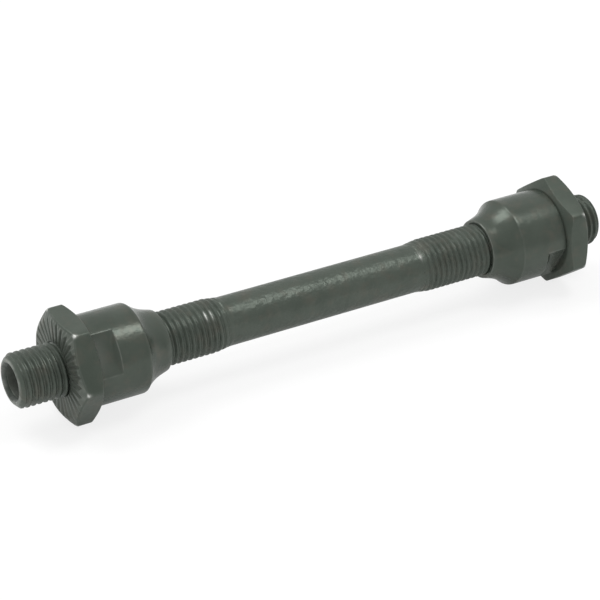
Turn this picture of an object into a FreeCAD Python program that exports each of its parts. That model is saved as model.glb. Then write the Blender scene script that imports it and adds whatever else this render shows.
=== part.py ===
import FreeCAD, Part
import math
import os
import Sketcher

# Hollow front hub axle: a bored axle threaded at both ends, two cones with ball races, two serrated locknuts.
# X runs along the axle with the origin at its middle, and Z is up. Sizes are in millimetres, angles in degrees.
# Each cone and nut is drawn from its own end of the axle inwards, so the right-hand pieces are turned end for end.

SIDES = ("left", "right")

DRIVING = {
    "axle_length": 108.0,
    "thread_diameter": 8.8,
    "thread_pitch": 1.0,
    "left_thread_length": 36.8,
    "right_thread_length": 36.2,
    "thread_runout": 1.6,
    "shank_diameter": 8.05,
    "bore_diameter": 5.1,
    "bore_countersink": 0.65,
    "end_chamfer": 0.7,
    "thread_clearance": 0.05,
    "left_protrusion": 7.9,
    "right_protrusion": 5.3,
    "nut_thickness": 4.1,
    "nut_across_flats": 16.5,
    "nut_corner_trim": 0.125,
    "nut_outer_chamfer": 1.85,
    "nut_inner_chamfer": 1.85,
    "nut_chamfer_angle": 25.0,
    "nut_countersink": 0.4,
    "serration_count": 30.0,
    "serration_width": 1.0,
    "serration_depth": 0.4,
    "cone_diameter": 14.6,
    "cone_barrel_length": 8.75,
    "cone_edge_chamfer": 0.3,
    "cone_flat_width": 12.8,
    "cone_flat_length": 3.6,
    "shoulder_chamfer": 0.25,
    "race_length": 3.0,
    "race_radius": 7.6,
    "nose_wall": 0.92,
    "nose_length": 1.4,
    "nose_chamfer": 0.4,
    "cone_countersink": 0.3,
    "left_nut_turn": 0.0,
    "right_nut_turn": 21.5,
    "left_cone_turn": 55.0,
    "right_cone_turn": 117.0,
}

# Places that follow from the driving sizes. Axle stations are measured from its middle.
AXLE_PLACES = {
    "right_end": "=axle_length / 2",
    "left_end": "=-right_end",
    "left_chamfer_end": "=left_end + end_chamfer",
    "right_chamfer_end": "=right_end - end_chamfer",
    "left_runout_end": "=left_end + left_thread_length",
    "left_thread_end": "=left_runout_end - thread_runout",
    "right_runout_end": "=right_end - right_thread_length",
    "right_thread_end": "=right_runout_end + thread_runout",
    "left_bore_wall": "=left_end + bore_countersink",
    "right_bore_wall": "=right_end - bore_countersink",
    "thread_radius": "=thread_diameter / 2",
    "shank_radius": "=shank_diameter / 2",
    "rim_radius": "=thread_radius - end_chamfer",
    "bore_radius": "=bore_diameter / 2",
    "bore_mouth_radius": "=bore_radius + bore_countersink",
}

# The groove of the thread, with flanks at 30 degrees to its middle. It is drawn a little higher than the crests.
# It starts beyond each end of the axle and travels in to where that thread ends.
THREAD_PLACES = {
    "thread_root_radius": "=thread_radius - 0.6134 * thread_pitch",
    "groove_top_radius": "=thread_radius + 0.1 * thread_pitch",
    "groove_crest_half": "=0.4375 * thread_pitch",
    "groove_top_half": "=groove_crest_half + 0.1 * thread_pitch * tan(30deg)",
    "groove_root_half": "=groove_crest_half - 0.6134 * thread_pitch * tan(30deg)",
    "left_groove": "=left_end - 0.5 * thread_pitch",
    "right_groove": "=right_end + thread_pitch",
    "left_groove_travel": "=left_thread_end - left_groove",
    "right_groove_travel": "=right_groove - right_thread_end",
}

# The corners of one side's groove where its thread starts.
GROOVE_PLACES = {
    "groove_top_left": "={side}_groove - groove_top_half",
    "groove_root_left": "={side}_groove - groove_root_half",
    "groove_root_right": "={side}_groove + groove_root_half",
    "groove_top_right": "={side}_groove + groove_top_half",
}

# Radii of the nuts and cones, and the section of a serration, which grows wider and deeper outwards.
# Its width and depth are given at the middle of a flat.
SECTION_PLACES = {
    "tapped_radius": "=thread_radius + thread_clearance",
    "nut_mouth_radius": "=tapped_radius + nut_countersink",
    "nut_flat_radius": "=nut_across_flats / 2",
    "hexagon_radius": "=nut_across_flats / sqrt(3)",
    "nut_corner_radius": "=hexagon_radius - nut_corner_trim",
    "nut_outer_face_radius": "=nut_corner_radius - nut_outer_chamfer",
    "nut_inner_face_radius": "=nut_corner_radius - nut_inner_chamfer",
    "nut_outer_chamfer_depth": "=nut_outer_chamfer * tan(nut_chamfer_angle * 1deg)",
    "nut_inner_chamfer_depth": "=nut_inner_chamfer * tan(nut_chamfer_angle * 1deg)",
    "trim_radius": "=nut_corner_radius + nut_thickness",
    "serration_slope": "=atan(serration_depth / nut_flat_radius)",
    "serration_start": "=tapped_radius",
    "serration_length": "=2 * nut_corner_radius",
    "serration_height": "=serration_depth * (nut_corner_radius / nut_flat_radius + 1 / 4)",
    "serration_spread": "=serration_width / 2 * serration_height / serration_depth",
    "cone_radius": "=cone_diameter / 2",
    "cone_end_radius": "=cone_radius - cone_edge_chamfer",
    "shoulder_radius": "=cone_radius - shoulder_chamfer",
    "nose_radius": "=tapped_radius + nose_wall",
    "nose_end_radius": "=nose_radius - nose_chamfer",
    "cone_mouth_radius": "=tapped_radius + cone_countersink",
    "cone_flat_height": "=cone_flat_width / 2",
    "cone_flat_reach": "=cone_radius + cone_flat_length",
    "cone_flat_side": "=cone_radius",
}

# Stations of one side's nut and cone, measured inwards from that end of the axle.
SIDE_PLACES = {
    "nut_outer": "={side}_protrusion",
    "nut_outer_edge": "={side}_nut_outer + nut_outer_chamfer_depth",
    "nut_outer_mouth": "={side}_nut_outer + nut_countersink",
    "serration_station": "={side}_nut_outer + serration_start * tan(serration_slope)",
    "nut_inner": "={side}_nut_outer + nut_thickness",
    "nut_inner_edge": "={side}_nut_inner - nut_inner_chamfer_depth",
    "nut_inner_mouth": "={side}_nut_inner - nut_countersink",
    "cone_outer": "={side}_nut_inner",
    "cone_edge": "={side}_cone_outer + cone_edge_chamfer",
    "cone_outer_mouth": "={side}_cone_outer + cone_countersink",
    "shoulder": "={side}_cone_outer + cone_barrel_length",
    "barrel_end": "={side}_shoulder - shoulder_chamfer",
    "race_end": "={side}_shoulder + race_length",
    "nose_end": "={side}_race_end + nose_length",
    "nose_edge": "={side}_nose_end - nose_chamfer",
}

doc = FreeCAD.newDocument("HubAxle")
sheet = doc.addObject("Spreadsheet::Sheet", "Sizes")


def fill_sheet():
    """Write the driving sizes and then the places worked out from them, one row each."""
    rows = {name: str(value) for name, value in DRIVING.items()}
    rows.update(AXLE_PLACES)
    rows.update(THREAD_PLACES)
    rows.update(SECTION_PLACES)
    for side in SIDES:
        for places in (GROOVE_PLACES, SIDE_PLACES):
            rows.update({f"{side}_{name}": text.format(side=side) for name, text in places.items()})
    for row, (name, text) in enumerate(rows.items(), start=1):
        sheet.set(f"A{row}", name)
        sheet.set(f"B{row}", text)
        sheet.setAlias(f"B{row}", name)
    doc.recompute()


def size(name):
    """The number that the sheet holds under a name."""
    return float(sheet.get(name))


def bind(item, prop, name):
    """Tie a property of an object to a named cell."""
    item.setExpression(prop, f"Sizes.{name}")


def origin_feature(body, role):
    return next(f for f in body.Origin.OriginFeatures if f.Role == role)


def new_sketch(body, name, plane, height=None):
    """A sketch on one of the body's own origin planes, lifted off it by a named height."""
    sketch = body.newObject("Sketcher::SketchObject", name)
    sketch.AttachmentSupport = (origin_feature(body, plane), [""])
    sketch.MapMode = "FlatFace"
    if height:
        bind(sketch, "AttachmentOffset.Base.z", height)
    return sketch


def dimension(sketch, kind, geometry, point, name):
    """A distance from the sketch's origin to a point, tied to a named cell."""
    index = sketch.addConstraint(Sketcher.Constraint(kind, -1, 1, geometry, point, size(name)))
    bind(sketch, f"Constraints[{index}]", name)


def radius(sketch, geometry, name):
    index = sketch.addConstraint(Sketcher.Constraint("Radius", geometry, size(name)))
    bind(sketch, f"Constraints[{index}]", name)


def close_loop(sketch, count):
    """Join each side's end to the start of the next."""
    for i in range(count):
        sketch.addConstraint(Sketcher.Constraint("Coincident", i, 2, (i + 1) % count, 1))


def section(body, name, corners):
    """A closed outline of straight sides in the XY plane. A corner is a pair of names: its station and its radius."""
    sketch = new_sketch(body, name, "XY_Plane")
    points = [FreeCAD.Vector(size(x), size(y), 0) for x, y in corners]
    for start, end in zip(points, points[1:] + points[:1]):
        sketch.addGeometry(Part.LineSegment(start, end))
    close_loop(sketch, len(points))
    for i, (x, y) in enumerate(corners):
        dimension(sketch, "DistanceX", i, 1, x)
        dimension(sketch, "DistanceY", i, 1, y)
    return sketch


def revolve(body, sketch, name):
    """Turn a section a full circle about X."""
    turned = body.newObject("PartDesign::Revolution", name)
    turned.Profile = sketch
    turned.ReferenceAxis = (origin_feature(body, "X_Axis"), [""])
    turned.Angle = 360.0


def spread(body, feature, name, count):
    """Repeat a cut evenly about X. The count is a number or the name of a cell."""
    pattern = body.newObject("PartDesign::PolarPattern", name)
    pattern.Originals = [feature]
    pattern.Axis = (origin_feature(body, "X_Axis"), [""])
    pattern.Angle = 360.0
    if isinstance(count, str):
        bind(pattern, "Occurrences", count)
    else:
        pattern.Occurrences = count
    body.Tip = pattern


def cut_forwards(body, sketch, name, length):
    """Cut a sketch away on the side that it faces, over a named length."""
    pocket = body.newObject("PartDesign::Pocket", name)
    pocket.Profile = sketch
    pocket.Reversed = True
    bind(pocket, "Length", length)
    return pocket


def new_body(name):
    body = doc.addObject("PartDesign::Body", name)
    body.Label = name
    return body


def seat(body, side, turn):
    """Put a piece on its end of the axle, turned about the axle by a named angle."""
    roll = FreeCAD.Rotation(FreeCAD.Vector(1, 0, 0), size(turn))
    if side == "right":
        roll = roll * FreeCAD.Rotation(FreeCAD.Vector(0, 0, 1), 180.0)
    body.Placement = FreeCAD.Placement(FreeCAD.Vector(size(f"{side}_end"), 0, 0), roll)
    bind(body, "Placement.Base.x", f"{side}_end")


def cut_thread(body, side):
    """Cut one end's right-hand thread: the groove turns about X once for each pitch that it travels inwards."""
    groove = section(body, f"{side}ThreadGroove", [
        (f"{side}_groove_top_left", "groove_top_radius"),
        (f"{side}_groove_root_left", "thread_root_radius"),
        (f"{side}_groove_root_right", "thread_root_radius"),
        (f"{side}_groove_top_right", "groove_top_radius"),
    ])
    thread = body.newObject("PartDesign::SubtractiveHelix", f"{side}Thread")
    thread.Profile = groove
    thread.ReferenceAxis = (origin_feature(body, "X_Axis"), [""])
    thread.Mode = "pitch-height-angle"
    thread.Reversed = side == "right"
    bind(thread, "Pitch", "thread_pitch")
    bind(thread, "Height", f"{side}_groove_travel")


def make_axle():
    """The axle: a thread at each end, a plain shank between, and a through bore."""
    body = new_body("axle")
    half_section = section(body, "AxleSection", [
        ("left_end", "bore_mouth_radius"),
        ("left_end", "rim_radius"),
        ("left_chamfer_end", "thread_radius"),
        ("left_thread_end", "thread_radius"),
        ("left_runout_end", "shank_radius"),
        ("right_runout_end", "shank_radius"),
        ("right_thread_end", "thread_radius"),
        ("right_chamfer_end", "thread_radius"),
        ("right_end", "rim_radius"),
        ("right_end", "bore_mouth_radius"),
        ("right_bore_wall", "bore_radius"),
        ("left_bore_wall", "bore_radius"),
    ])
    revolve(body, half_section, "AxleTurning")
    for side in SIDES:
        cut_thread(body, side)
    return body


def hexagon_trim(body, name):
    """The ring between a hexagon across the flats, one corner on the sketch's own X, and a circle outside the nut."""
    sketch = new_sketch(body, name, "YZ_Plane")
    reach = size("hexagon_radius")
    corners = [FreeCAD.Vector(reach * math.cos(k * math.pi / 3), reach * math.sin(k * math.pi / 3), 0)
               for k in range(6)]
    for start, end in zip(corners, corners[1:] + corners[:1]):
        sketch.addGeometry(Part.LineSegment(start, end))
    middle, normal = FreeCAD.Vector(0, 0, 0), FreeCAD.Vector(0, 0, 1)
    round_corners = sketch.addGeometry(Part.Circle(middle, normal, reach), True)
    outside = sketch.addGeometry(Part.Circle(middle, normal, size("trim_radius")))
    close_loop(sketch, len(corners))
    for i in range(len(corners)):
        sketch.addConstraint(Sketcher.Constraint("PointOnObject", i, 1, round_corners))
    for i in range(1, len(corners)):
        sketch.addConstraint(Sketcher.Constraint("Equal", 0, i))
    for circle, name in ((round_corners, "hexagon_radius"), (outside, "trim_radius")):
        sketch.addConstraint(Sketcher.Constraint("Coincident", circle, 3, -1, 1))
        radius(sketch, circle, name)
    sketch.addConstraint(Sketcher.Constraint("PointOnObject", 0, 1, -1))
    return sketch


def serration_sketch(body, side):
    """The V of a serration at the tapped hole, square to its valley, which sinks into the face on its way out."""
    sketch = new_sketch(body, f"{side}SerrationSketch", "XY_Plane")
    lean = FreeCAD.Rotation(FreeCAD.Vector(0, 1, 0), size("serration_slope"))
    sketch.AttachmentOffset = FreeCAD.Placement(FreeCAD.Vector(0, 0, 0), lean)
    bind(sketch, "AttachmentOffset.Base.x", f"{side}_serration_station")
    bind(sketch, "AttachmentOffset.Base.z", "serration_start")
    high, wide = size("serration_height"), size("serration_spread")
    points = [FreeCAD.Vector(0, 0, 0), FreeCAD.Vector(-high, wide, 0), FreeCAD.Vector(-high, -wide, 0)]
    for start, end in zip(points, points[1:] + points[:1]):
        sketch.addGeometry(Part.LineSegment(start, end))
    close_loop(sketch, len(points))
    sketch.addConstraint(Sketcher.Constraint("Coincident", 0, 1, -1, 1))
    sketch.addConstraint(Sketcher.Constraint("Symmetric", 1, 1, 2, 1, -1))
    height = sketch.addConstraint(Sketcher.Constraint("DistanceX", 1, 1, -1, 1, high))
    bind(sketch, f"Constraints[{height}]", "serration_height")
    dimension(sketch, "DistanceY", 1, 1, "serration_spread")
    return sketch


def make_locknut(side):
    """A locknut: a chamfered blank trimmed to a hexagon, with radial serrations on the face that meets the fork."""
    body = new_body(f"{side}_locknut")
    blank = section(body, f"{side}NutSection", [
        (f"{side}_nut_outer", "nut_mouth_radius"),
        (f"{side}_nut_outer", "nut_outer_face_radius"),
        (f"{side}_nut_outer_edge", "nut_corner_radius"),
        (f"{side}_nut_inner_edge", "nut_corner_radius"),
        (f"{side}_nut_inner", "nut_inner_face_radius"),
        (f"{side}_nut_inner", "nut_mouth_radius"),
        (f"{side}_nut_inner_mouth", "tapped_radius"),
        (f"{side}_nut_outer_mouth", "tapped_radius"),
    ])
    revolve(body, blank, f"{side}NutBlank")
    cut_forwards(body, hexagon_trim(body, f"{side}NutHexagon"), f"{side}NutFlats", f"{side}_nut_inner")
    serration = cut_forwards(body, serration_sketch(body, side), f"{side}Serration", "serration_length")
    spread(body, serration, f"{side}Serrations", "serration_count")
    seat(body, side, f"{side}_nut_turn")
    return body


def race_middle(shoulder, nose):
    """The centre of the race's arc, outside the metal on the line that halves its chord."""
    chord = nose - shoulder
    outwards = FreeCAD.Vector(-chord.y, chord.x, 0).normalize()
    reach = math.sqrt(size("race_radius") ** 2 - (chord.Length / 2) ** 2)
    return (shoulder + nose) / 2 + outwards * reach


def race_section(body, side):
    """The cone's section: barrel, shoulder, a hollow race arc down to the nose, and the tapped hole."""
    corners = [
        (f"{side}_shoulder", "shoulder_radius"),
        (f"{side}_barrel_end", "cone_radius"),
        (f"{side}_cone_edge", "cone_radius"),
        (f"{side}_cone_outer", "cone_end_radius"),
        (f"{side}_cone_outer", "cone_mouth_radius"),
        (f"{side}_cone_outer_mouth", "tapped_radius"),
        (f"{side}_nose_end", "tapped_radius"),
        (f"{side}_nose_end", "nose_end_radius"),
        (f"{side}_nose_edge", "nose_radius"),
        (f"{side}_race_end", "nose_radius"),
    ]
    sketch = new_sketch(body, f"{side}ConeSection", "XY_Plane")
    points = [FreeCAD.Vector(size(x), size(y), 0) for x, y in corners]
    for start, end in zip(points, points[1:]):
        sketch.addGeometry(Part.LineSegment(start, end))
    middle = race_middle(points[0], points[-1])
    ball_path = Part.Circle(middle, FreeCAD.Vector(0, 0, 1), size("race_radius"))
    start, end = (math.atan2(p.y - middle.y, p.x - middle.x) for p in (points[0], points[-1]))
    race = sketch.addGeometry(Part.ArcOfCircle(ball_path, start, end))
    last = len(points) - 2
    for i in range(last):
        sketch.addConstraint(Sketcher.Constraint("Coincident", i, 2, i + 1, 1))
    sketch.addConstraint(Sketcher.Constraint("Coincident", last, 2, race, 2))
    sketch.addConstraint(Sketcher.Constraint("Coincident", race, 1, 0, 1))
    for i, (x, y) in enumerate(corners):
        geometry, point = (i, 1) if i <= last else (last, 2)
        dimension(sketch, "DistanceX", geometry, point, x)
        dimension(sketch, "DistanceY", geometry, point, y)
    radius(sketch, race, "race_radius")
    return sketch


def flat_sketch(body, side):
    """A rectangle above the wrench flat, on the cone's outer end."""
    sketch = new_sketch(body, f"{side}FlatSketch", "YZ_Plane", f"{side}_cone_outer")
    wide, low, high = size("cone_flat_side"), size("cone_flat_height"), size("cone_flat_reach")
    points = [FreeCAD.Vector(-wide, low, 0), FreeCAD.Vector(wide, low, 0),
              FreeCAD.Vector(wide, high, 0), FreeCAD.Vector(-wide, high, 0)]
    for start, end in zip(points, points[1:] + points[:1]):
        sketch.addGeometry(Part.LineSegment(start, end))
    close_loop(sketch, len(points))
    sketch.addConstraint(Sketcher.Constraint("Symmetric", 0, 1, 0, 2, -2))
    for i, kind in ((1, "Vertical"), (2, "Horizontal"), (3, "Vertical")):
        sketch.addConstraint(Sketcher.Constraint(kind, i))
    dimension(sketch, "DistanceX", 0, 2, "cone_flat_side")
    dimension(sketch, "DistanceY", 0, 2, "cone_flat_height")
    dimension(sketch, "DistanceY", 2, 1, "cone_flat_reach")
    return sketch


def make_cone(side):
    """A bearing cone: a turned barrel with a ball race, and two wrench flats on the end that meets the locknut."""
    body = new_body(f"{side}_cone")
    revolve(body, race_section(body, side), f"{side}ConeTurning")
    flat = cut_forwards(body, flat_sketch(body, side), f"{side}Flat", "cone_flat_length")
    spread(body, flat, f"{side}Flats", 2)
    seat(body, side, f"{side}_cone_turn")
    return body


def check(bodies):
    """Stop if any object failed, or if a cut took nothing away."""
    failed = [item.Name for item in doc.Objects if {"Invalid", "Error"} & set(item.State)]
    if failed:
        raise RuntimeError(f"failed objects: {failed}")
    for body in bodies:
        if body.Shape.isNull() or not body.Shape.isValid() or len(body.Shape.Solids) != 1:
            raise RuntimeError(f"{body.Label} is not one valid solid")
        steps = [f for f in body.Group if f.isDerivedFrom("PartDesign::Feature")]
        for before, after in zip(steps, steps[1:]):
            if not after.Shape.Volume < before.Shape.Volume:
                raise RuntimeError(f"{after.Name} cuts nothing from {body.Label}")


fill_sheet()
pieces = [make_axle()]
for end in SIDES:
    pieces += [make_cone(end), make_locknut(end)]
doc.recompute()
check(pieces)

os.makedirs("parts", exist_ok=True)
for piece in pieces:
    piece.Shape.exportStep(f"parts/{piece.Label}.step")
    print(f"{piece.Label}: {piece.Shape.Volume:.1f} mm3")
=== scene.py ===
# %% [markdown]
# # Hub axle of a front wheel
# A hollow steel axle lies on a pale floor. A ball cone and a serrated locknut are screwed onto each
# end, and all five pieces are blackened steel. The CAD model gives the sizes and the places. Here
# each piece gets what the eye looks for: round threads, soft edges, lathe marks and a worn finish.

# %% Load the frame
import math

import bmesh
import bpy
import numpy as np
from mathutils import Matrix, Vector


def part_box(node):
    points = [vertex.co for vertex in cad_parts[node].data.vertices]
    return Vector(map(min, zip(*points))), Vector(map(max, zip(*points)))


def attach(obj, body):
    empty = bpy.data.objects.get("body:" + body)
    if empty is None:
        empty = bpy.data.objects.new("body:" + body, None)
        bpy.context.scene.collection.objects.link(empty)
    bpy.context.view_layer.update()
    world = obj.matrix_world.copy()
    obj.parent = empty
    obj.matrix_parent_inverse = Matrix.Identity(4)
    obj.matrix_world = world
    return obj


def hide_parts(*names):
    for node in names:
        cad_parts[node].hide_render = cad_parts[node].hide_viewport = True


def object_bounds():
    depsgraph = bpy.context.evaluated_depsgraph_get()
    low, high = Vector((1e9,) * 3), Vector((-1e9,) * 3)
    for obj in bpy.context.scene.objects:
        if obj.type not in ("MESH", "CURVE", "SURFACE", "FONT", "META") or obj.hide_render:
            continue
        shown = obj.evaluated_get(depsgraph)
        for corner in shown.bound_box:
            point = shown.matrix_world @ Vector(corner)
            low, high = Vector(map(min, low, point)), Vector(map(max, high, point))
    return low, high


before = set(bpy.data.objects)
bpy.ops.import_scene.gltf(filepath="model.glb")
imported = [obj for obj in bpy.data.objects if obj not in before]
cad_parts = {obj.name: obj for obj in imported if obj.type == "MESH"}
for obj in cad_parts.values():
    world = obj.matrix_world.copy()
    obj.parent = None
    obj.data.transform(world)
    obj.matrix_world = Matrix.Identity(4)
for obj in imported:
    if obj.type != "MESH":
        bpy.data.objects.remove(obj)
cad_low, cad_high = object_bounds()
MM = 0.001


def box_mm(node):
    """Lowest and highest corner of a CAD solid, in millimetres."""
    low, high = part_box(node)
    return np.array(low) / MM, np.array(high) / MM


print("CAD box in mm:", [round(v / MM, 2) for v in cad_low], [round(v / MM, 2) for v in cad_high])

# %% [markdown]
# ## One skin for every piece
# Each piece was turned on a lathe, so its surface is a set of rings round the X axis. A ring may
# have its own place and radius at every angle, and that is enough for hexagons, wrench flats and
# serrations too. A modifier such as Screw could spin a profile, but only into plain round shapes.
# So the rings are computed as whole arrays of rows and columns, and the last row joins the first:
# the skin runs out along the outside and comes back through the bore, and has no open edge.
# Each vertex also carries how worn it is, with painted glints, a painted fill and shade, and its
# distance along the profile for the finish.

# %% A closed skin from bands of rings
MERGE = 0.0002
SHARP = math.radians(38)


def skin(name, angles, bands):
    """Joins bands of rings into one closed mesh.

    A band holds x, r, the worn share with its painted glints, the painted fill and shade, and a
    step: a vertex lies at x along the axis and r from it, at its column's angle from +Y towards +Z.
    Wear is how far the finish is rubbed off, and in places it is a painted glint. The fill is a
    painted tone: above zero it is paler, to lift shade, and below zero it is painted shade. After one
    turn a row meets the row that is step rows further on, so a thread climbs one pitch per turn while
    plain rings meet themselves.
    """
    x, r, wear_and_glint, painted_fill_and_shade = (np.concatenate([band[part] for band in bands]) for part in range(4))
    starts = np.cumsum([0] + [len(band[0]) for band in bands])
    across = np.concatenate([
        start + np.minimum(np.arange(len(band[0])) + band[4], len(band[0]) - 1)
        for start, band in zip(starts, bands)
    ])
    here = np.arange(x.size).reshape(x.shape)
    beside = np.column_stack([here[:, 1:], here[across, 0]])
    faces = np.stack([here, np.roll(here, -1, 0), np.roll(beside, -1, 0), beside], -1).reshape(-1, 4)
    points = np.stack([x, r * np.cos(angles), r * np.sin(angles)], -1).reshape(-1, 3) * MM
    path = np.hypot(np.diff(x.mean(1), prepend=x[0].mean()), np.diff(r.mean(1), prepend=r[0].mean()))
    along = np.repeat(np.cumsum(path), x.shape[1])

    mesh = bpy.data.meshes.new(name)
    mesh.from_pydata(points, [], faces)
    for mark, values in (("wear_and_glint", wear_and_glint.ravel()), ("painted_fill_and_shade", painted_fill_and_shade.ravel()), ("along", along)):
        mesh.attributes.new(mark, "FLOAT", "POINT").data.foreach_set("value", values)
    shell = bmesh.new()
    shell.from_mesh(mesh)
    bmesh.ops.remove_doubles(shell, verts=shell.verts, dist=MERGE * MM)
    bmesh.ops.recalc_face_normals(shell, faces=shell.faces)
    shell.to_mesh(mesh)
    shell.free()
    mesh.shade_smooth()
    mesh.set_sharp_from_angle(angle=SHARP)
    piece = bpy.data.objects.new(name, mesh)
    bpy.context.collection.objects.link(piece)
    triangles = sum(len(face.vertices) - 2 for face in mesh.polygons)
    print(f"{name}: {len(mesh.vertices)} vertices, {triangles} triangles")
    return piece


# %% [markdown]
# ## Rounded corners
# No real edge is perfectly sharp. A small round catches the light and draws the bright lines that
# make steel look like steel. A Bevel modifier would cut the thread to pieces, so the corners are
# rounded in the profile itself: each becomes a short curve that leaves one straight run and joins
# the next. The same curve says where the edge is, and the finish later wears thin there.

# %% Profiles with rounded corners
CURVE = np.linspace(0, 1, 5)[:, None]
LONGEST_ROUND = 0.45


def rounded(corners, columns):
    """Rows of a profile through corners of (x, r, size, rub), each one value or one per column.

    A corner becomes a quadratic Bezier curve between the points that lie its size before and after
    it, or as near as the runs allow. The first and last corner are kept. Returns x, r and the wear,
    which rises to the corner's rub in the middle of its curve. At some corners of the nuts that rub
    is a painted glint.
    """
    spots = np.array([[np.broadcast_to(value, columns) for value in corner[:2]] for corner in corners])
    rows, wear_and_glint = [spots[:1]], [np.zeros((1, columns))]
    for before, corner, after, (_, _, size, rub) in zip(spots, spots[1:], spots[2:], corners[1:]):
        ends = []
        for other in (before, after):
            run = np.maximum(np.hypot(*(other - corner)), 1e-9)
            ends.append(corner + (other - corner) * np.minimum(size / run, LONGEST_ROUND))
        leave, join = (end[None] for end in ends)
        t = CURVE[:, :, None]
        rows.append((1 - t) ** 2 * leave + 2 * t * (1 - t) * corner + t ** 2 * join)
        wear_and_glint.append(4 * CURVE * (1 - CURVE) * np.broadcast_to(rub, columns))
    rows = np.concatenate(rows + [spots[-1:]])
    return rows[:, 0], rows[:, 1], np.concatenate(wear_and_glint + [np.zeros((1, columns))])


print(f"Each corner is a curve of {CURVE.size} rows")

# %% [markdown]
# ## The thread
# The axle, the cones and the nuts share one fine thread of 1 mm pitch. It was rolled, not cut, so
# its crests and roots are softly rounded: a cosine wave gives the form, and its tops and bottoms are
# cut a little flat. A texture could fake it, but the crests show in the outline. Rings that climb
# one pitch per turn follow the crests exactly, so a dozen rings per pitch are enough. At the ends of
# a thread the rings are held at a flat plane, where the extra ones merge.

# %% Rings that follow a right-hand thread
PITCH = 1.0
THREAD_DEPTH = 0.4
THREAD_SWING = 0.56
THREAD_AT = np.arange(12) / 12
THREAD_HEIGHT = np.clip(0.5 + THREAD_SWING * np.cos(2 * np.pi * THREAD_AT), 0, 1)
THREAD_PHASE = {"left": 0.0, "right": 0.5}
CREST = box_mm("axle")[1][2]
ROOT = CREST - THREAD_DEPTH


def thread_rows(start, end, side, angles):
    """x and radius of the rings of a thread between two places on the axis.

    A ring keeps its height in the thread form and moves one pitch along X per turn from +Y to +Z.
    """
    first = math.floor(start / PITCH) - 2
    last = math.ceil(end / PITCH) + 2
    at = (np.arange(first, last)[:, None] + THREAD_PHASE[side] + THREAD_AT).ravel() * PITCH
    height = np.tile(THREAD_HEIGHT, last - first)
    used = slice(np.searchsorted(at, start - PITCH) - 1, np.searchsorted(at, end) + 1)
    x = np.clip(at[used, None] + PITCH * angles / (2 * np.pi), start, end)
    return x, np.broadcast_to(ROOT + (CREST - ROOT) * height[used, None], x.shape)


print(f"Thread from {2 * ROOT:.2f} to {2 * CREST:.2f} mm across, pitch {PITCH} mm")

# %% [markdown]
# ## The threaded ends
# Both ends of the axle are threaded and the middle is left plain. Each thread starts on a chamfer,
# which leads a nut onto it, and fades out into the shank where the rolling dies ran out. A Boolean
# with a cone could cut the chamfer, but it leaves ragged faces on a thread. Here the radius of each
# ring is simply held under the chamfer and above the shank. A few crests were knocked, and their
# nicks are painted bright as glints. The roots are painted paler to lift the shade in the grooves.

# %% Threads of the axle
THREAD_LENGTH = {"left": 36.8, "right": 36.2}
RUNOUT = 2.6
SHANK = 4.025
END_CHAMFER = {"left": 0.85, "right": 0.6}
EDGE = 0.12
END_WEAR = 0.3
ROOT_PAINTED_FILL = 0.1
# Each nick is a knocked crest with a painted glint: its place along X, its angle in degrees and the
# brightness of its glint.
NICK_GLINTS = [(-21.55, 123, 1.5), (-20.55, 125, 0.8), (18.4, 125, 1.2)]
NICK_LENGTH = 0.2
NICK_DEGREES = 8
axle_angles = np.linspace(0, 2 * np.pi, 88, endpoint=False)
axle_end = box_mm("axle")[1][0]


def axle_thread(side):
    """Band of one end's thread: each radius is the smaller of the thread's and the highest that the
    chamfer and the run-out leave, and no less than the root, which rises to the shank."""
    away = {"left": -1, "right": 1}[side]
    start, stop = sorted((away * axle_end, away * (axle_end - THREAD_LENGTH[side])))
    x, r = thread_rows(start, stop, side, axle_angles)
    inwards = axle_end - away * x
    fade = THREAD_LENGTH[side] - RUNOUT
    rim = CREST - END_CHAMFER[side]
    places = [0, 0.3 * EDGE, EDGE, END_CHAMFER[side], fade, THREAD_LENGTH[side]]
    limits = [rim - EDGE, rim - 0.2 * EDGE, rim + EDGE, CREST, CREST, SHANK]
    highest = np.interp(inwards, places, limits)
    lowest = np.interp(inwards, [fade - 0.5 * RUNOUT, fade + 0.7 * RUNOUT], [ROOT, SHANK])
    height = np.minimum(np.maximum(r, lowest), highest)
    wear_and_glint = END_WEAR * np.exp(-((inwards - 0.3 * EDGE) / EDGE) ** 2)
    # Painted highlight: the knocked crests are painted bright as glints.
    for nick_x, nick_angle, strength in NICK_GLINTS:
        beside = (np.degrees(axle_angles) - nick_angle) / NICK_DEGREES
        nick = ((x - nick_x) / NICK_LENGTH) ** 2 + beside ** 2
        wear_and_glint = np.maximum(wear_and_glint, strength * np.exp(-nick))
    # Painted fill: the roots of the thread are painted paler to lift the shade in the grooves.
    depth = np.clip((CREST - height) / THREAD_DEPTH, 0, 1)
    return x, height, wear_and_glint, ROOT_PAINTED_FILL * depth * (r < highest), len(THREAD_AT)


print(f"Threads of {THREAD_LENGTH['left']} and {THREAD_LENGTH['right']} mm on {2 * axle_end:.0f} mm")

# %% [markdown]
# ## The axle
# The axle is a steel tube, bored right through for the skewer that clamps the wheel. Its mouths are
# countersunk. The edge of each mouth is painted bright as a glint, the countersinks are painted dark
# as painted shade, and the bore behind is painted paler to lift its shade. The skin goes out along
# the left thread, the shank and the right thread, round the end face and back through the bore.
# Close rows at the shank's ends keep its smooth shading out of the threads.

# %% Axle
BORE = 2.55
MOUTH = 3.2
MOUTH_EDGE = 0.06
# A bright line painted at the edge of each mouth as a glint.
RIM_GLINT = 0.4
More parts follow.
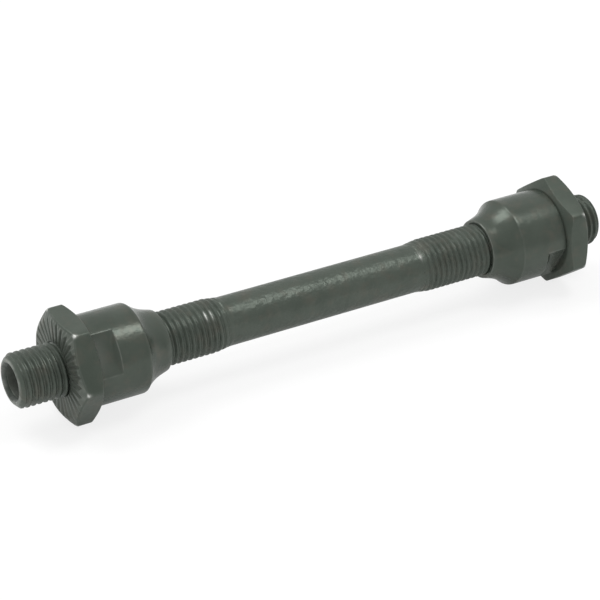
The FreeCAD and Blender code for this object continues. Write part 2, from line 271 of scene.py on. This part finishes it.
# A paler tone painted in the bore to lift its shade, and a darker one on the countersinks as painted
# shade.
BORE_PAINTED_FILL = 1.3
MOUTH_PAINTED_SHADE = -1.0
shank_from, shank_to = THREAD_LENGTH["left"] - axle_end, axle_end - THREAD_LENGTH["right"]
shank_x = np.r_[shank_from + 0.04, np.linspace(shank_from + 0.1, shank_to - 0.1, 30), shank_to - 0.04]
shank = np.broadcast_to(shank_x[:, None], (shank_x.size, axle_angles.size))
clean = np.zeros(shank.shape)
bore_x, bore_r, _ = rounded([
    (axle_end, CREST - END_CHAMFER["right"] - EDGE, 0, 0),
    (axle_end, MOUTH, MOUTH_EDGE, 0),
    (axle_end - MOUTH + BORE, BORE, MOUTH_EDGE, 0),
    (0, BORE, 1.0, 0),
    (MOUTH - BORE - axle_end, BORE, MOUTH_EDGE, 0),
    (-axle_end, MOUTH, MOUTH_EDGE, 0),
    (-axle_end, CREST - END_CHAMFER["left"] - EDGE, 0, 0),
], axle_angles.size)
# Painted highlight at the mouths' edges; painted shade on the countersinks and a painted lift of the
# shade in the bore.
mouth_glint = RIM_GLINT * np.exp(-((bore_r - MOUTH) / 0.06) ** 2)
bore_fill_and_shade = np.select([bore_r < BORE + 0.02, bore_r < MOUTH - 0.03], [BORE_PAINTED_FILL, MOUTH_PAINTED_SHADE], 0.0)
axle = skin("blackened_axle", axle_angles, [
    axle_thread("left"),
    (shank, np.full(shank.shape, SHANK), clean, clean, 0),
    axle_thread("right"),
    (bore_x, bore_r, mouth_glint, bore_fill_and_shade, 0),
])
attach(axle, "axle")
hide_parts("axle")

# %% [markdown]
# ## The tapped holes
# Cones and nuts have the same thread cut into them, a hair wider so that they turn freely. A steep
# little countersink opens each end. The hole could be left plain, since little of it shows, but it
# comes into view when a nut is screwed off. Because the hole uses the axle's own rings, crest lies
# in root all the way round, and it does so again one pitch further on.

# %% Tapped hole
CLEARANCE = 0.05
MOUTH_SLOPE = 4.0


def tapped_hole(start, end, mouths, side, angles):
    """Internal thread from start to end: the axle's thread, wider by the clearance, and never
    narrower than the two countersinks, which narrow from the radius of each mouth at the slope."""
    x, r = thread_rows(start, end, side, angles)
    sinks = np.maximum(mouths[0] - MOUTH_SLOPE * (x - start), mouths[1] - MOUTH_SLOPE * (end - x))
    clean = np.zeros(x.shape)
    return x, np.maximum(r + CLEARANCE, sinks), clean, clean, len(THREAD_AT)


def facing(side, node, rows):
    """Band of rows drawn for the left side, from the inner end to the outer one, with x counted
    inwards from the outer face. The right side is the left one turned round, so its rows run the
    other way."""
    x, r, wear_and_glint, painted_fill_and_shade = rows
    low, high = box_mm(node)
    if side == "left":
        return low[0] + x, r, wear_and_glint, painted_fill_and_shade, 0
    return high[0] - x[::-1], r[::-1], wear_and_glint[::-1], painted_fill_and_shade[::-1], 0


print(f"Holes are {CLEARANCE} mm wider in radius than the thread")

# %% [markdown]
# ## The ball race
# A cone carries the balls of the bearing in a ground, hollow race. A true arc could be sampled by
# angle. A parabola over the straight line between its ends is simpler, and at this shallow depth the
# two differ by less than a hair. The race runs down to a short nose, and joins it without an edge.

# %% Profile of the race
BARREL_LENGTH = 8.75
SHOULDER = 0.25
RACE_LENGTH = 3.0
RACE_RADIUS = 7.6
RACE_ROWS = 12
NOSE = CREST + 0.97
RACE_ROUNDS = [0.4] + [0.02] * (RACE_ROWS - 2) + [0.3]


def cone_race(barrel):
    """Corners of the race from the nose to the barrel's shoulder: the straight line between its
    ends, sunk by a parabola that is as deep in the middle as an arc of the race's radius."""
    down = NOSE - (barrel - SHOULDER)
    chord = math.hypot(RACE_LENGTH, down)
    sink = RACE_RADIUS - math.sqrt(RACE_RADIUS ** 2 - chord ** 2 / 4)
    t = np.linspace(1, 0, RACE_ROWS)
    depth = 4 * t * (1 - t) * sink / chord
    x = BARREL_LENGTH + t * RACE_LENGTH + depth * down
    r = barrel - SHOULDER + t * down - depth * RACE_LENGTH
    return [(*spot, size, 0) for *spot, size in zip(x, r, RACE_ROUNDS)]


print(f"Race of {RACE_LENGTH} mm down to a nose of {2 * NOSE:.2f} mm")

# %% [markdown]
# ## The wrench flats
# A cone has two flats at its outer end, where a thin wrench holds it while the nut is tightened. A
# flat is a plane at a fixed distance from the axis, so at each angle the radius is the smaller of the
# barrel's and that distance divided by the cosine of the angle to the flat. Cutting the flats with a
# Boolean would work too, but then their edges couldn't be rounded and worn with the rest. Columns lie
# close together where a flat meets the barrel, so that this edge stays straight.

# %% Columns and radius of the wrench flats
FLAT = 6.4
CONE_TURN = {"left": 55.0, "right": 117.0}
NEAR_EDGE = np.array([-3, -1.2, -0.5, 0, 0.5, 1.2, 3])


def wrench_flats(side, barrel):
    """Angles of a cone's columns, its radius there with the flats cut, and how many degrees each
    column is from the nearest edge of a flat, whose cosine is the flat's distance over the barrel."""
    edge = math.degrees(math.acos(FLAT / barrel))
    keys = [90 + half + sign * edge + NEAR_EDGE for half in (0, 180) for sign in (-1, 1)]
    degrees = np.concatenate([np.arange(0, 360, 2.5), *keys]) + CONE_TURN[side]
    angles = np.radians(np.unique(np.round(degrees % 360, 1) % 360))
    from_flat = (angles - math.radians(90 + CONE_TURN[side]) + np.pi / 2) % np.pi - np.pi / 2
    flat = np.minimum(barrel, FLAT / np.maximum(np.cos(from_flat), 0.2))
    return angles, flat, np.abs(np.degrees(from_flat)) - edge


print(f"Cones are {2 * FLAT} mm across their flats")

# %% [markdown]
# ## The cones
# The skin of a cone starts at its nose, climbs the race to the barrel, and ends on the outer face.
# Where the flats stop, a short slope climbs back up to the barrel, as the edge of a milling cutter
# leaves it. Two profiles, one with and one without flats, could be blended by hand. Here each corner
# simply has one place per column, and the slope fades out where the flat does.

# %% Ball cones
FLAT_LENGTH = 3.6
WALL_SLOPE = 0.9
BARREL_EDGE, FLAT_EDGE = 0.06, 0.03
EDGE_WEAR = 0.12
NOSE_PAINTED_FILL, FLAT_PAINTED_FILL = 0.5, 0.8
NOSE_TAPER = 0.4
NOSE_MOUTH = CREST + CLEARANCE + 0.01
CONE_MOUTH = CREST + 0.35


def ball_cone(side):
    """Cone of one side: nose, race and barrel with wrench flats as rounded rows, closed by the
    tapped hole. depth is 0 on the barrel and 1 in the middle of a flat."""
    node = f"{side}_cone"
    low, high = box_mm(node)
    barrel, length = high[2], high[0] - low[0]
    angles, flat, from_edge = wrench_flats(side, barrel)
    depth = (barrel - flat) / (barrel - FLAT)
    outer_edge = BARREL_EDGE + (FLAT_EDGE - BARREL_EDGE) * depth
    x, r, wear_and_glint = rounded([
        (length, NOSE_MOUTH, 0, 0),
        (length, NOSE - NOSE_TAPER, 0.15, 0.1),
        *cone_race(barrel),
        (BARREL_LENGTH - SHOULDER, barrel, 0.35, 0.03),
        (FLAT_LENGTH, barrel, 0.12, 0.15 * depth),
        (FLAT_LENGTH - WALL_SLOPE * depth, flat, 0.35, 0),
        (outer_edge, flat, 0.08, 0.05),
        (0, flat - outer_edge, 0.1, 0.1),
        (0, CONE_MOUTH, 0, 0),
    ], angles.size)
    on_edge = np.exp(-(from_edge / 0.8) ** 2) * (x < FLAT_LENGTH)
    # Painted fill: the nose end and the flats next to the nut are painted paler to lift the shade
    # there.
    on_nose = np.exp(-((length - x) / 0.15) ** 2)
    on_flat = depth * np.exp(-(x / 0.7) ** 2) * (x < FLAT_LENGTH)
    wear_and_glint = np.maximum(wear_and_glint, EDGE_WEAR * on_edge)
    painted_fill_and_shade = NOSE_PAINTED_FILL * on_nose + FLAT_PAINTED_FILL * on_flat
    mouths = (CONE_MOUTH, NOSE_MOUTH) if side == "left" else (NOSE_MOUTH, CONE_MOUTH)
    return skin(f"{side}_ball_cone", angles, [
        facing(side, node, (x, r, wear_and_glint, painted_fill_and_shade)),
        tapped_hole(low[0], high[0], mouths, side, angles),
    ])


cones = {side: ball_cone(side) for side in ("left", "right")}
for side, cone in cones.items():
    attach(cone, f"{side}_cone")
    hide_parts(f"{side}_cone")

# %% [markdown]
# ## Columns for a serrated hexagon
# A locknut is a hexagon whose outer face is cut with radial serrations that bite into the fork. An
# even grid would need thousands of columns to catch the serrations and the corners. So the columns
# are placed where the shape bends: a dozen per serration, and a few more round each corner.

# %% Columns of a nut
SERRATIONS = 30
SPACING = 360 / SERRATIONS
IN_SERRATION = np.array([-6, -4.4, -3.5, -2.7, -1.6, -0.6, 0, 0.6, 1.6, 2.7, 3.5, 4.4])
IN_CORNER = np.array([-2.4, -1.6, -1, -0.4, 0.4, 1, 1.6, 2.4])
NUT_TURN = {"left": 0.0, "right": 21.5}


def nut_columns(side):
    """Angles of a nut's columns. Also returns how many degrees each column is from the middle of
    its flat, which repeats every 60 degrees, and from the nearest valley of a serration."""
    valleys = 90 + np.arange(SERRATIONS)[:, None] * SPACING + IN_SERRATION
    tips = np.arange(6)[:, None] * 60 + IN_CORNER
    degrees = np.concatenate([valleys.ravel(), tips.ravel()]) + NUT_TURN[side]
    angles = np.radians(np.unique(np.round(degrees % 360, 1) % 360))
    turned = np.degrees(angles) - NUT_TURN[side]
    return angles, turned % 60 - 30, (turned - 90 + SPACING / 2) % SPACING - SPACING / 2


print(f"{SERRATIONS} serrations, {nut_columns('left')[0].size} columns on a nut")

# %% [markdown]
# ## The serrated face
# The outer face of a nut is a height over radius and angle: the deeper of a V-shaped serration and
# the chamfer of the corners, with flat lands left between the serrations. A displacement texture
# could press them in, but it blurs their edges. Where two heights meet, a square root eases the
# corner, because no tool leaves it perfectly sharp.

# %% Height of the serrated face
FACE_RADIUS = 7.55
CHAMFER_SLOPE = math.tan(math.radians(25))
CHAMFER_EASE = 0.04
SERRATION_WIDTH = 1.0
SERRATION_DEPTH = 0.34
VALLEY_EASE = 0.5
LAND_EASE = 0.12
_, (_, NUT_CORNER, NUT_FLAT) = box_mm("left_locknut")
HALF_VALLEY = math.degrees(SERRATION_WIDTH / 2 / NUT_FLAT)


def soft_top(value, softness):
    """The larger of value and zero, with the corner between them eased over about the softness."""
    return 0.5 * (value + np.sqrt(value ** 2 + softness ** 2))


def valley_share(from_valley):
    """Share of a serration's full depth: 1 less the eased angle to its valley over half its width,
    and zero on the lands."""
    return soft_top(1 - np.sqrt(from_valley ** 2 + VALLEY_EASE ** 2) / HALF_VALLEY, LAND_EASE)


def below_face(radius, valley):
    """Depth of the outer face below its lands: the larger of the serration's, which grows with the
    radius, and the chamfer's, which starts at the face's radius."""
    serration = SERRATION_DEPTH * valley * radius / NUT_FLAT
    chamfer = soft_top((radius - FACE_RADIUS) * CHAMFER_SLOPE, CHAMFER_EASE)
    return np.maximum(serration, chamfer)


print(f"Serrations reach {HALF_VALLEY:.1f} degrees to each side of their valleys")

# %% [markdown]
# ## The locknuts
# A hexagon is six planes, so its radius at an angle is the distance to a flat divided by a cosine,
# and a slightly smaller circle takes the tips of the corners off. A cylinder with six sides would
# give the hexagon at once, but not the chamfers or the rounds of its edges. On the lit side of the
# face the edges of the lands are worn and painted brighter as a painted highlight, and on the shaded
# side the face is painted paler to lift its shade. The corners are knocked, and their tips are
# painted bright as glints.

# %% Locknuts
CORNER_POWER = 90
RIM_INSET = 0.25
NUT_MOUTH = CREST + 0.06
LIT_SIDE_AT = math.radians(30)
LAND_WEAR_AND_HIGHLIGHT = 0.35
CORNER_KNOCK_GLINT = 1.5
VALLEY_PAINTED_FILL, FACE_PAINTED_FILL = 0.6, 0.35


def locknut(side):
    """Nut of one side: hexagon, chamfers and serrated face as rows, closed by the tapped hole."""
    node = f"{side}_locknut"
    low, high = box_mm(node)
    thickness = high[0] - low[0]
    angles, from_flat, from_valley = nut_columns(side)
    hexagon = NUT_FLAT / np.cos(np.radians(from_flat))
    rim = (hexagon ** -CORNER_POWER + NUT_CORNER ** -CORNER_POWER) ** (-1 / CORNER_POWER)
    inset = rim - RIM_INSET
    valley = valley_share(from_valley)
    rim_x = below_face(rim, valley)
    back_x = thickness - (rim - FACE_RADIUS) * CHAMFER_SLOPE
    from_corner = 30 - np.abs(from_flat)
    edge_x, edge_r, edge_wear_and_glint = rounded([
        (thickness, NUT_MOUTH, 0, 0),
        (thickness, FACE_RADIUS, 0.15, 0),
        # The inner edge of each flat is painted bright near the corners as a thin glint.
        (back_x, rim, 0.08, 0.12 * np.exp(-(from_corner / 5) ** 2)),
        (rim_x + 0.8, rim, 0.05, 0),
        (rim_x + 0.35, rim, 0.05, 0),
        (rim_x, rim, 0.15, 0.05),
        (below_face(inset, valley), inset, 0, 0),
    ], angles.size)
    chamfer_r = FACE_RADIUS + np.linspace(1, 0, 7)[1:, None] * (inset - FACE_RADIUS)
    face_r = np.linspace(FACE_RADIUS, NUT_MOUTH, 9)[1:, None] * np.ones(angles.size)
    face_r = np.concatenate([chamfer_r, face_r])

    # Painted highlight: the tips of the knocked corners are painted bright as glints.
    knocked_glint = np.exp(-((edge_x - rim_x) / 0.3) ** 2 - (from_corner / 1.8) ** 2)
    # Painted light: the worn land edges are painted brighter on the lit side of the face, and the
    # shaded side is painted paler to lift its shade.
    lit_side = 0.5 + 0.5 * np.cos(angles - LIT_SIDE_AT)
    land_edges = np.exp(-((np.abs(from_valley) - HALF_VALLEY) / 0.7) ** 2)
    on_face = np.ones(face_r.shape)
    face_wear_and_highlight = LAND_WEAR_AND_HIGHLIGHT * land_edges * lit_side * on_face
    # Painted fill: the face and its valleys are painted paler on the shaded side to lift the shade
    # there.
    face_painted_fill = (VALLEY_PAINTED_FILL * valley + FACE_PAINTED_FILL) * (1 - lit_side) * on_face
    return skin(f"{side}_serrated_locknut", angles, [
        facing(side, node, (
            np.concatenate([edge_x, below_face(face_r, valley)]),
            np.concatenate([edge_r, face_r]),
            np.concatenate([np.maximum(edge_wear_and_glint, CORNER_KNOCK_GLINT * knocked_glint), face_wear_and_highlight]),
            np.concatenate([np.zeros(edge_x.shape), face_painted_fill]),
        )),
        tapped_hole(low[0], high[0], (NUT_MOUTH, NUT_MOUTH), side, angles),
    ])


locknuts = {side: locknut(side) for side in ("left", "right")}
for side, nut in locknuts.items():
    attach(nut, f"{side}_locknut")
    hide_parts(f"{side}_locknut")

# %% [markdown]
# ## Adding shader nodes
# A finish is a small tree of shader nodes, and so are the floor and the room. In the shader editor
# each node is added, filled in and wired by hand. One helper does the same three things here, so the
# finish below reads like a recipe: every line names a node and what goes into it.

# %% A helper for shader nodes
def add(tree, kind, output, inputs=None, **settings):
    """Adds a node to a tree, wires or fills its inputs, and returns the named output."""
    node = tree.nodes.new(kind)
    for name, value in settings.items():
        setattr(node, name, value)
    for name, value in (inputs or {}).items():
        if isinstance(value, bpy.types.NodeSocket):
            tree.links.new(value, node.inputs[name])
        else:
            node.inputs[name].default_value = value
    return node.outputs[output]


def spread(tree, source, low, high, to_low, to_high):
    """Maps low and high of a source to two new ends, and holds it there outside them."""
    ends = {"From Min": low, "From Max": high, "To Min": to_low, "To Max": to_high}
    return add(tree, "ShaderNodeMapRange", "Result", {"Value": source, **ends})


def blend(tree, factor, first, second):
    """Mixes two colours: the first at factor 0, the second at factor 1."""
    return add(tree, "ShaderNodeMix", 2, {0: factor, 6: first, 7: second}, data_type="RGBA")


print("Node helpers: add, spread, blend")

# %% [markdown]
# ## Blackened steel
# Steel parts like these are dipped in a hot salt bath that turns their skin into a thin, dark,
# slightly green oxide. To the eye it lies between metal and paint, so the shader is metallic only in
# part and its mirror is dim. Clouds of noise vary the tone, browner patches show where the oxide is
# thin, and finer noise varies the gloss. The marks drawn with the mesh do the rest: a paler tone
# painted into shaded hollows to lift their shade, a darker tone painted as shade in the mouths of the
# bore, and bright steel where an edge is worn and where a glint is painted. An image could hold all
# this, but it would need an unwrapped map, and noise in space has no seams.

# %% Oxide finish
METAL_SHARE = 0.35
MIRROR_TINT = (0.6, 0.62, 0.6, 1)
BROWN_OXIDE = (0.1, 0.088, 0.07, 1)
# A paler tone painted to lift shade, a darker tone painted as shade, and bare steel that also paints
# glints.
PAINTED_FILL_TONE = (0.2, 0.21, 0.19, 1)
PAINTED_SHADE_TONE = (0.014, 0.02, 0.015, 1)
BARE_STEEL_AND_GLINT = (0.55, 0.56, 0.53, 1)


def oxide_colour(tree, noise, dark, light):
    """Colour of the oxide: two tones by clouds, then brown patches, a paler tone painted to lift
    shade, a darker tone painted as shade, and bare steel for worn edges and painted glints.
    """
    painted_fill_and_shade = add(tree, "ShaderNodeAttribute", "Fac", attribute_name="painted_fill_and_shade")
    wear_and_glint = add(tree, "ShaderNodeAttribute", "Fac", attribute_name="wear_and_glint")
    patchy = spread(tree, noise(700, 4), 0.35, 0.65, 0.25, 1.0)
    rubbed_and_glint = add(tree, "ShaderNodeMath", 0, {0: wear_and_glint, 1: patchy}, operation="MULTIPLY")
    colour = blend(tree, spread(tree, noise(240, 5), 0.3, 0.7, 0, 1), (*dark, 1), (*light, 1))
    colour = blend(tree, spread(tree, noise(420, 3), 0.5, 0.75, 0, 0.4), colour, BROWN_OXIDE)
    # Painted fill and shade: above zero a paler tone lifts shaded hollows, below zero a darker tone is
    # painted shade.
    colour = blend(tree, spread(tree, painted_fill_and_shade, 0, 2, 0, 0.9), colour, PAINTED_FILL_TONE)
    colour = blend(tree, spread(tree, painted_fill_and_shade, 0, -1, 0, 0.9), colour, PAINTED_SHADE_TONE)
    # Bare steel on worn edges, and also on the painted glints.
    return blend(tree, rubbed_and_glint, colour, BARE_STEEL_AND_GLINT)


# In this tree the dust is a painted fill, the grease is painted shade, and the bare steel also paints
# glints.
print("Oxide, dust, grease and bare steel share one colour tree")

# %% [markdown]
# ## Lathe marks and an uneven skin
# A lathe tool leaves fine rings round a piece, and the drawn bar of the axle is never quite even, so
# its long highlight breaks up. Both are far too fine for the mesh, and two bumps carry them. The
# rings read the distance along the profile, so they stay rings on faces and barrels alike.

# %% Finishes
MARKS_PER_MM = 9.0
MARK_HEIGHT = 0.02


def oxide_steel(name, dark, light, gloss, marks, dents):
    """Black oxide on steel. dark and light are the ends of its tone, gloss the range of its roughness,
    marks the strength of the lathe marks, dents the height of the uneven skin in millimetres."""
    material = bpy.data.materials.new(name)
    material.use_nodes = True
    tree = material.node_tree
    shader = tree.nodes["Principled BSDF"].inputs
    shader["Metallic"].default_value = METAL_SHARE
    shader["Specular Tint"].default_value = MIRROR_TINT
    place = add(tree, "ShaderNodeTexCoord", "Object")

    def noise(scale, detail):
        """Noise in the piece's own space."""
        inputs = {"Vector": place, "Scale": scale, "Detail": detail}
        return add(tree, "ShaderNodeTexNoise", "Fac", inputs)

    path = add(tree, "ShaderNodeAttribute", "Fac", attribute_name="along")
    rings = add(tree, "ShaderNodeTexNoise", "Fac", {"W": path, "Scale": MARKS_PER_MM, "Detail": 3.0},
                noise_dimensions="1D")
    turned = add(tree, "ShaderNodeBump", "Normal",
                 {"Strength": marks, "Distance": MARK_HEIGHT * MM, "Height": rings})
    uneven = add(tree, "ShaderNodeBump", "Normal",
                 {"Distance": dents * MM, "Height": noise(1000, 3), "Normal": turned})
    tree.links.new(oxide_colour(tree, noise, dark, light), shader["Base Color"])
    tree.links.new(spread(tree, noise(1500, 4), 0.3, 0.7, *gloss), shader["Roughness"])
    tree.links.new(uneven, shader["Normal"])
    return material


axle_oxide = oxide_steel("oxide_on_axle", dark=(0.056, 0.069, 0.056), light=(0.072, 0.086, 0.071),
                         gloss=(0.30, 0.40), marks=0.2, dents=0.14)
cone_oxide = oxide_steel("oxide_on_cones", dark=(0.049, 0.061, 0.049), light=(0.063, 0.076, 0.062),
                         gloss=(0.22, 0.27), marks=0.3, dents=0.04)
nut_oxide = oxide_steel("oxide_on_locknuts", dark=(0.051, 0.064, 0.051), light=(0.066, 0.08, 0.065),
                        gloss=(0.33, 0.43), marks=0.15, dents=0.02)
axle.data.materials.append(axle_oxide)
for side in ("left", "right"):
    cones[side].data.materials.append(cone_oxide)
    locknuts[side].data.materials.append(nut_oxide)
print("Finishes:", ", ".join(material.name for material in (axle_oxide, cone_oxide, nut_oxide)))

# %% [markdown]
# ## The floor
# The part lies on white paper, and the sheet is a hair below its lowest corner. Lamps strong enough
# to make paper look pure white would also make the steel too pale. So the floor is a plain pale
# surface that keeps the soft shadow. For the camera, and a little in reflections, a share of plain
# white is mixed in.

# %% Floor
FLOOR_SIZE = 4.0
FLOOR_GAP = 0.01
WHITE_SHARE = {"Is Camera Ray": 0.8, "Is Glossy Ray": 0.35, "Is Transmission Ray": 0.35}
under = cad_low[2] - FLOOR_GAP * MM
across = np.array([(-1, -1), (1, -1), (1, 1), (-1, 1)]) * FLOOR_SIZE / 2
floor_mesh = bpy.data.meshes.new("pale_floor")
floor_mesh.from_pydata(np.column_stack([across, np.full(4, under)]), [], [(0, 1, 2, 3)])
floor = bpy.data.objects.new("pale_floor", floor_mesh)
bpy.context.collection.objects.link(floor)

paper = bpy.data.materials.new("white_paper")
paper.use_nodes = True
tree = paper.node_tree
sheet = tree.nodes["Principled BSDF"]
sheet.inputs["Base Color"].default_value = (0.9, 0.9, 0.9, 1)
sheet.inputs["Roughness"].default_value = 0.9
white = add(tree, "ShaderNodeEmission", "Emission", {"Strength": 1.0})
rays = tree.nodes.new("ShaderNodeLightPath").outputs
lifts = [spread(tree, rays[kind], 0, 1, 0, share) for kind, share in WHITE_SHARE.items()]
lift = lifts[0]
for other in lifts[1:]:
    lift = add(tree, "ShaderNodeMath", 0, {0: lift, 1: other}, operation="MAXIMUM")
surface = add(tree, "ShaderNodeMixShader", "Shader", {0: lift, 1: sheet.outputs["BSDF"], 2: white})
tree.links.new(surface, tree.nodes["Material Output"].inputs["Surface"])
floor_mesh.materials.append(paper)
print(f"Floor at z = {under / MM:.2f} mm")

# %% [markdown]
# ## The light
# Soft light comes from all round. The side of the room behind the camera is a little darker, and the
# flats that face it look darkest. One lamp hangs overhead and a larger one behind on the left, and
# together they draw the soft highlights along the tops of the pieces. A single strong lamp would be
# simpler, but its hard shadows would hide the serrations. Seen directly, the room is plain white.

# %% Light
ROOM_STRENGTH = (0.68, 0.86)
world = bpy.data.worlds.new("soft_room")
bpy.context.scene.world = world
world.use_nodes = True
tree = world.node_tree
direction = add(tree, "ShaderNodeTexCoord", "Generated")
front_to_back = add(tree, "ShaderNodeSeparateXYZ", "Y", {"Vector": direction})
room = spread(tree, front_to_back, -0.8, 0.0, *ROOM_STRENGTH)
seen = add(tree, "ShaderNodeLightPath", "Is Camera Ray")
strength = add(tree, "ShaderNodeMath", 0, {0: room, 1: seen}, operation="MAXIMUM")
tree.links.new(strength, tree.nodes["Background"].inputs["Strength"])
tree.nodes["Background"].inputs["Color"].default_value = (1, 1, 1, 1)


def lamp(name, spot, size, power):
    """Soft rectangular lamp at a spot in metres, aimed at the middle of the axle."""
    light = bpy.data.lights.new(name, "AREA")
    light.shape = "RECTANGLE"
    light.size, light.size_y = size
    light.energy = power
    holder = bpy.data.objects.new(name, light)
    back = np.array(spot) / np.linalg.norm(spot)
    right = np.cross((0, 1, 0), back)
    right /= np.linalg.norm(right)
    turn = np.eye(4)
    turn[:3, :3] = np.column_stack([right, np.cross(back, right), back])
    turn[:3, 3] = spot
    holder.matrix_world = Matrix(turn.tolist())
    bpy.context.collection.objects.link(holder)


lamp("overhead_lamp", (0.2, -0.12, 0.58), (0.24, 0.2), 1.15)
lamp("left_lamp", (-0.2, 0.22, 0.5), (0.34, 0.26), 1.5)

# %% [markdown]
# ## The camera
# The camera looks down at the axle from the front and the left, through a long lens that keeps its
# two ends nearly the same size. A Track To constraint could aim it, but would hold it level, and this
# view is tilted a little. So the camera's three directions and its place, in metres, are written out
# as the columns of its matrix.

# %% Camera
right = (0.85967, -0.51049, 0.01904)
up = (0.24543, 0.44542, 0.86102)
back = (-0.44802, -0.73553, 0.50821)
spot = (-0.175955, -0.284018, 0.196188)
lens = bpy.data.cameras.new("camera")
lens.lens = 144
lens.sensor_width = 36
camera = bpy.data.objects.new("camera", lens)
turn = np.eye(4)
turn[:3] = np.column_stack([right, up, back, spot])
camera.matrix_world = Matrix(turn.tolist())
bpy.context.collection.objects.link(camera)
bpy.context.scene.camera = camera
bpy.context.scene.view_settings.view_transform = "Standard"
print("Camera at", spot)
